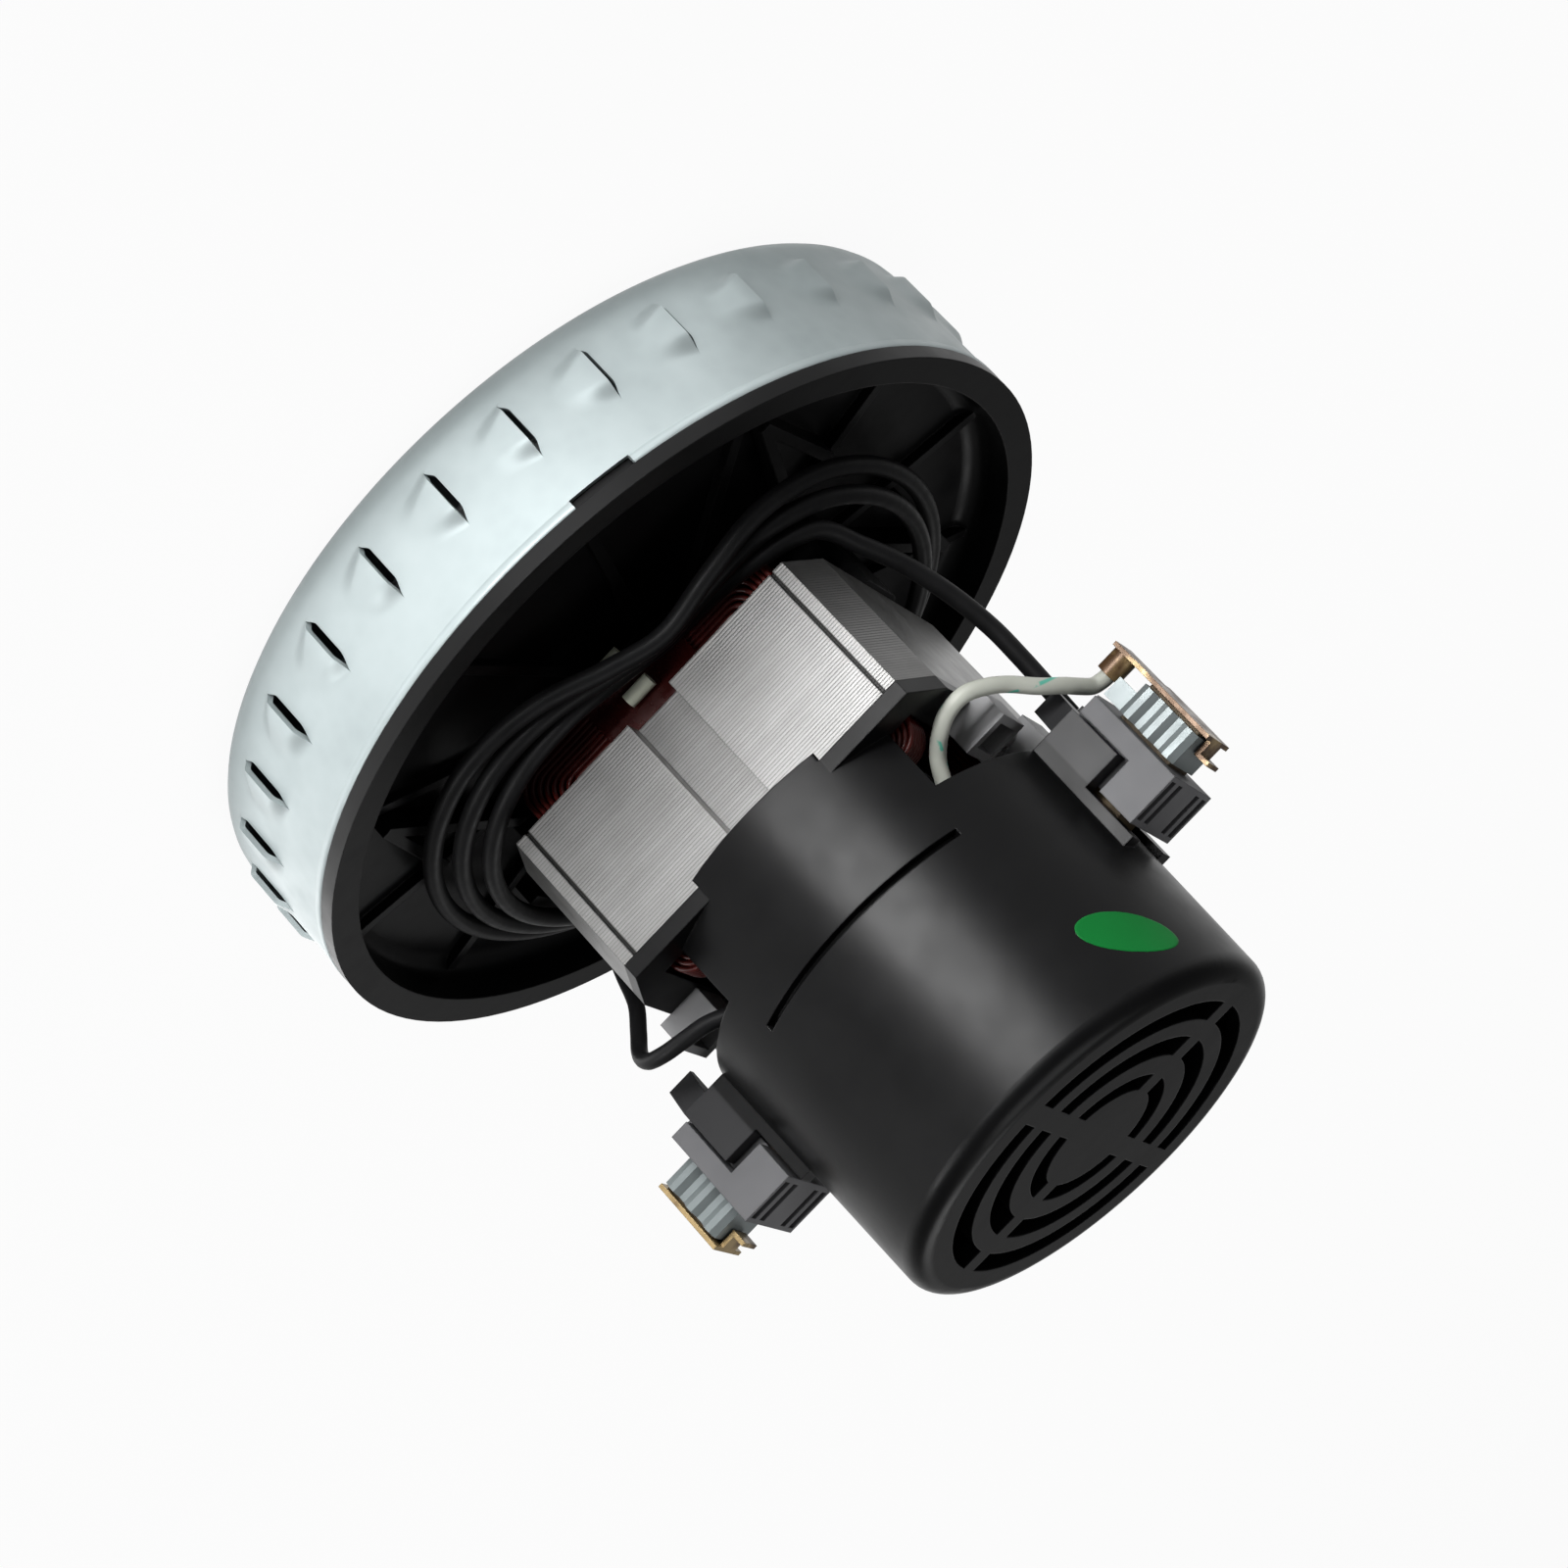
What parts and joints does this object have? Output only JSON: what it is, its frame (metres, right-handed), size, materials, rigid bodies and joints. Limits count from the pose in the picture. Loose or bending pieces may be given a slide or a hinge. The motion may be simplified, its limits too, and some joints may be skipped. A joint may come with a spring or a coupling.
{
  "type": "vacuum cleaner motor unit",
  "caption": "Brushed vacuum cleaner motor with a louvred steel fan cover, black bowl bracket, laminated stator, grilled end cap and two side brush holders.",
  "frame": {"origin": "on the shaft axis, in the plane of the fan cover's inlet face, on which the unit stands", "axes": "+Z along the shaft from the inlet face to the end cap's grille, X along the two brushes, -Y towards the camera side"},
  "size_m": [0.1326, 0.1324, 0.1202],
  "materials": {
    "zinc_sheet": "zinc plated sheet steel, satin",
    "black_plastic": "satin black moulding",
    "grey_plastic": "matt dark grey moulding",
    "lamination": "stacked electrical steel",
    "copper": "enamelled copper",
    "red_film": "red insulating film",
    "steel": "ground steel",
    "brass": "stamped brass",
    "carbon": "carbon",
    "resin": "brown moulding resin",
    "aluminium": "pressed aluminium sheet",
    "black_insulation": "black lead insulation",
    "white_insulation": "white lead insulation"
  },
  "bodies": {
    "housing": {"fan_cover": "zinc_sheet", "front_bracket": "black_plastic", "stator_core": "lamination", "field_coil_near": "copper", "field_coil_far": "copper", "slot_liners": "red_film", "end_bracket": "black_plastic", "stator_screws": "steel", "terminal_block_left": "grey_plastic", "terminal_block_right": "grey_plastic", "brush_holder_left": "grey_plastic", "brush_holder_right": "grey_plastic", "brush_tube_left": "brass", "brush_tube_right": "brass", "brush_clip_left": "zinc_sheet", "brush_clip_right": "zinc_sheet", "brush_cap_left": "brass", "brush_cap_right": "brass", "brush_spring_left": "steel", "brush_spring_right": "steel", "front_bearing_outer": "steel", "rear_bearing_outer": "steel", "black_lead": "black_insulation", "white_lead": "white_insulation", "link_lead": "black_insulation", "lead_sleeves": "white_insulation"},
    "rotor": {"shaft": "steel", "armature_core": "lamination", "armature_winding": "copper", "commutator_bars": "copper", "commutator_hub": "resin", "front_bearing_inner": "steel", "rear_bearing_inner": "steel", "impeller_back_plate": "aluminium", "impeller_vanes": "aluminium", "impeller_front_plate": "aluminium", "impeller_spacer": "steel", "impeller_washer": "steel", "impeller_nut": "steel"},
    "front_cage": {"front_bearing_balls": "steel", "front_bearing_cage": "brass"},
    "rear_cage": {"rear_bearing_balls": "steel", "rear_bearing_cage": "brass"},
    "brush_left": {"carbon_brush_left": "carbon"},
    "brush_right": {"carbon_brush_right": "carbon"}
  },
  "joints": [
    {"name": "rotor_spin", "type": "hinge", "parent": "housing", "child": "rotor", "pos_m": [0, 0, 0.05], "axis": [0, 0, 1], "continuous": true},
    {"name": "front_cage_spin", "type": "hinge", "parent": "housing", "child": "front_cage", "pos_m": [0, 0, 0.0241], "axis": [0, 0, 1], "continuous": true},
    {"name": "rear_cage_spin", "type": "hinge", "parent": "housing", "child": "rear_cage", "pos_m": [0, 0, 0.113], "axis": [0, 0, 1], "continuous": true},
    {"name": "brush_left_slide", "type": "slide", "parent": "housing", "child": "brush_left", "axis": [-1, 0, 0], "range_m": [0, 0.005], "deforming": ["brush_spring_left"]},
    {"name": "brush_right_slide", "type": "slide", "parent": "housing", "child": "brush_right", "axis": [1, 0, 0], "range_m": [0, 0.005], "deforming": ["brush_spring_right"]}
  ],
  "couplings": [
    {"joint": "front_cage_spin", "follows": "rotor_spin", "ratio": 0.3676},
    {"joint": "rear_cage_spin", "follows": "rotor_spin", "ratio": 0.3691}
  ]
}
